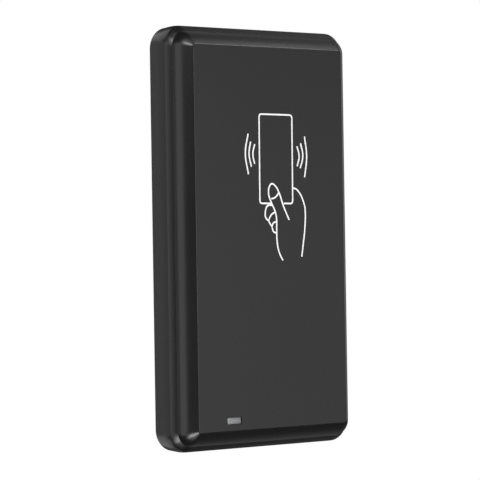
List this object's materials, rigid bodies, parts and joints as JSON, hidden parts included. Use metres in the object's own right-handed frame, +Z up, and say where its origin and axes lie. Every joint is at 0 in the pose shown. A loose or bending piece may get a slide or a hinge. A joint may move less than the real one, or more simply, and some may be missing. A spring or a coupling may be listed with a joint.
{
  "type": "rfid card reader",
  "caption": "Slim upright wall-mounted contactless card reader: black slab with a bevelled rim, flat faceplate, status window and a hook-on mounting plate.",
  "frame": {"origin": "centre of the wall face, the back of the mounting plate, half way up the case", "axes": "+Z up along the case's long side, +Y out of the back towards the wall, the front faces -Y"},
  "size_m": [0.066, 0.013, 0.12],
  "materials": {
    "shell_black": "moulded ABS, fine satin",
    "panel_black": "smooth satin faceplate with a white printed pictogram",
    "plate_black": "moulded, matt",
    "seal_rubber": "silicone",
    "pipe_clear": "frosted clear",
    "led_white": "white LED body",
    "board_green": "solder mask",
    "coil_copper": null,
    "ferrite_grey": "ferrite-filled sheet",
    "chip_black": "moulded epoxy",
    "can_metal": "plated can",
    "inductor_grey": "ferrite",
    "tantalum_yellow": "moulded",
    "ceramic_tan": "ceramic",
    "resistor_black": "thick film",
    "terminal_green": "moulded",
    "screw_steel": "zinc-plated",
    "switch_black": "moulded",
    "plunger_white": "acetal",
    "label_silver": "blank foil label"
  },
  "bodies": {
    "wall_plate": {"mounting_plate": "plate_black"},
    "reader": {"front_panel": "panel_black", "front_cover": "shell_black", "rear_cover": "shell_black", "case_gasket": "seal_rubber", "light_pipe": "pipe_clear", "status_led": "led_white", "main_pcb": "board_green", "antenna_coil": "coil_copper", "ferrite_sheet": "ferrite_grey", "mcu_chip": "chip_black", "reader_ic": "chip_black", "voltage_regulator": "chip_black", "sounder": "chip_black", "crystal": "can_metal", "power_inductor": "inductor_grey", "terminal_block": "terminal_green", "tamper_switch": "switch_black", "rating_label": "label_silver", "case_screw_1": "screw_steel", "ceramic_capacitor_1": "ceramic_tan", "chip_resistor_1": "resistor_black", "case_screw_2": "screw_steel", "ceramic_capacitor_2": "ceramic_tan", "chip_resistor_2": "resistor_black", "case_screw_3": "screw_steel", "ceramic_capacitor_3": "ceramic_tan", "chip_resistor_3": "resistor_black", "case_screw_4": "screw_steel", "ceramic_capacitor_4": "ceramic_tan", "chip_resistor_4": "resistor_black", "bulk_capacitor_1": "tantalum_yellow", "bulk_capacitor_2": "tantalum_yellow", "terminal_screw_1": "screw_steel", "terminal_screw_2": "screw_steel", "terminal_screw_3": "screw_steel", "terminal_screw_4": "screw_steel", "terminal_screw_5": "screw_steel", "terminal_screw_6": "screw_steel", "terminal_screw_7": "screw_steel", "terminal_screw_8": "screw_steel"},
    "tamper_button": {"tamper_plunger": "plunger_white"}
  },
  "joints": [
    {"name": "reader_lift", "type": "slide", "parent": "wall_plate", "child": "reader", "axis": [0, 0, 1], "range_m": [0, 0.0045]},
    {"name": "tamper_travel", "type": "slide", "parent": "reader", "child": "tamper_button", "axis": [0, 1, 0], "range_m": [0, 0.0015], "stiffness_N_per_m": 60, "springref_m": 0.002}
  ]
}
